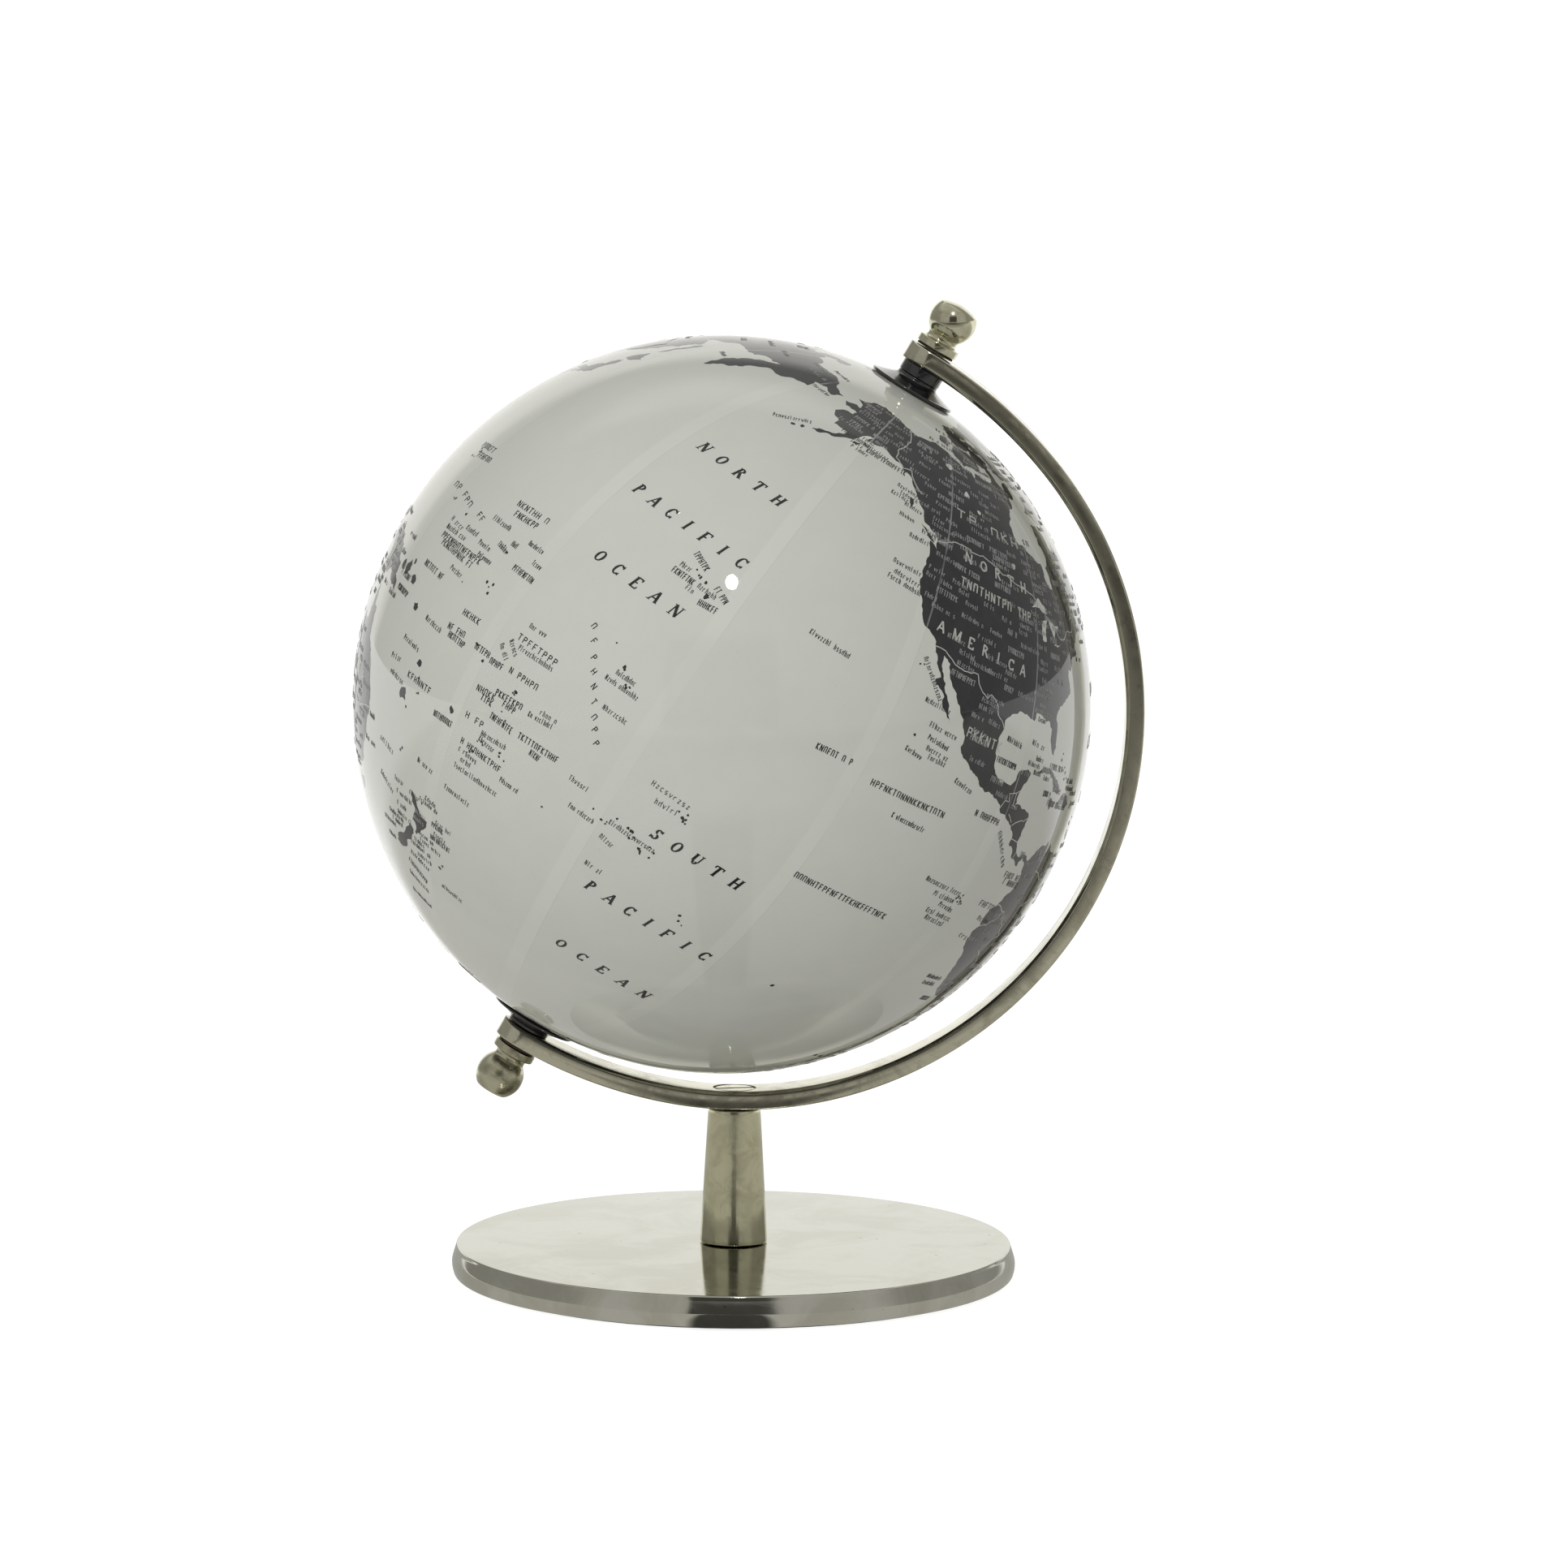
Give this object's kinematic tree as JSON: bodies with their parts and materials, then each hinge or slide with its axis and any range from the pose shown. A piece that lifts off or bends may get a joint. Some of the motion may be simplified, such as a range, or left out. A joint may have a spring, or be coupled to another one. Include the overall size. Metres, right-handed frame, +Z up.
{
  "type": "desk globe",
  "caption": "Tilted desk globe: a hollow map globe that spins on a slanted axle in a C-shaped flat bar arm, on a short tapered stem and a round weighted base.",
  "frame": {"origin": "centre of the felt underside of the base, on the stem's axis, at the surface that the globe stands on", "axes": "+Z up; +X towards the side that the axle's north end leans to and that the arm passes round; +Y completes a right-handed frame"},
  "size_m": [0.2141, 0.2, 0.2675],
  "materials": {
    "nickel_base": "polished nickel plate on a casting, slightly cloudy, fine pits and scratches",
    "nickel_bar": "polished nickel plate, warm grey, fine lengthwise polishing lines",
    "nickel_turned": "polished nickel plate on turned parts",
    "steel": "plain zinc-plated steel",
    "map_gloss": "printed paper map gores under clear gloss lacquer, white seas and black land",
    "inner_plastic": "plain moulded plastic, out of sight",
    "black_plastic": "gloss black moulded plastic",
    "fibre": "thin dark fibre washer",
    "felt": "black felt"
  },
  "bodies": {
    "stand": {"base_felt": "felt", "base_disc": "nickel_base", "base_screw": "steel", "base_washer": "steel", "stem": "nickel_turned", "arm_screw": "nickel_turned", "meridian_arm": "nickel_bar", "axle_rod": "steel", "knob_upper": "nickel_turned", "knob_lower": "nickel_turned", "knob_washer_upper": "fibre", "knob_washer_lower": "fibre", "pole_spacer": "black_plastic"},
    "globe": {"globe_shell_north": "map_gloss", "globe_shell_south": "map_gloss", "joining_ring": "inner_plastic", "axle_tube": "inner_plastic", "pole_bush_north": "black_plastic", "pole_bush_south": "black_plastic"}
  },
  "joints": [
    {"name": "globe_spin", "type": "hinge", "parent": "stand", "child": "globe", "pos_m": [-0.0032, 0, 0.1586], "axis": [0.5075, 0, 0.8616], "continuous": true}
  ]
}
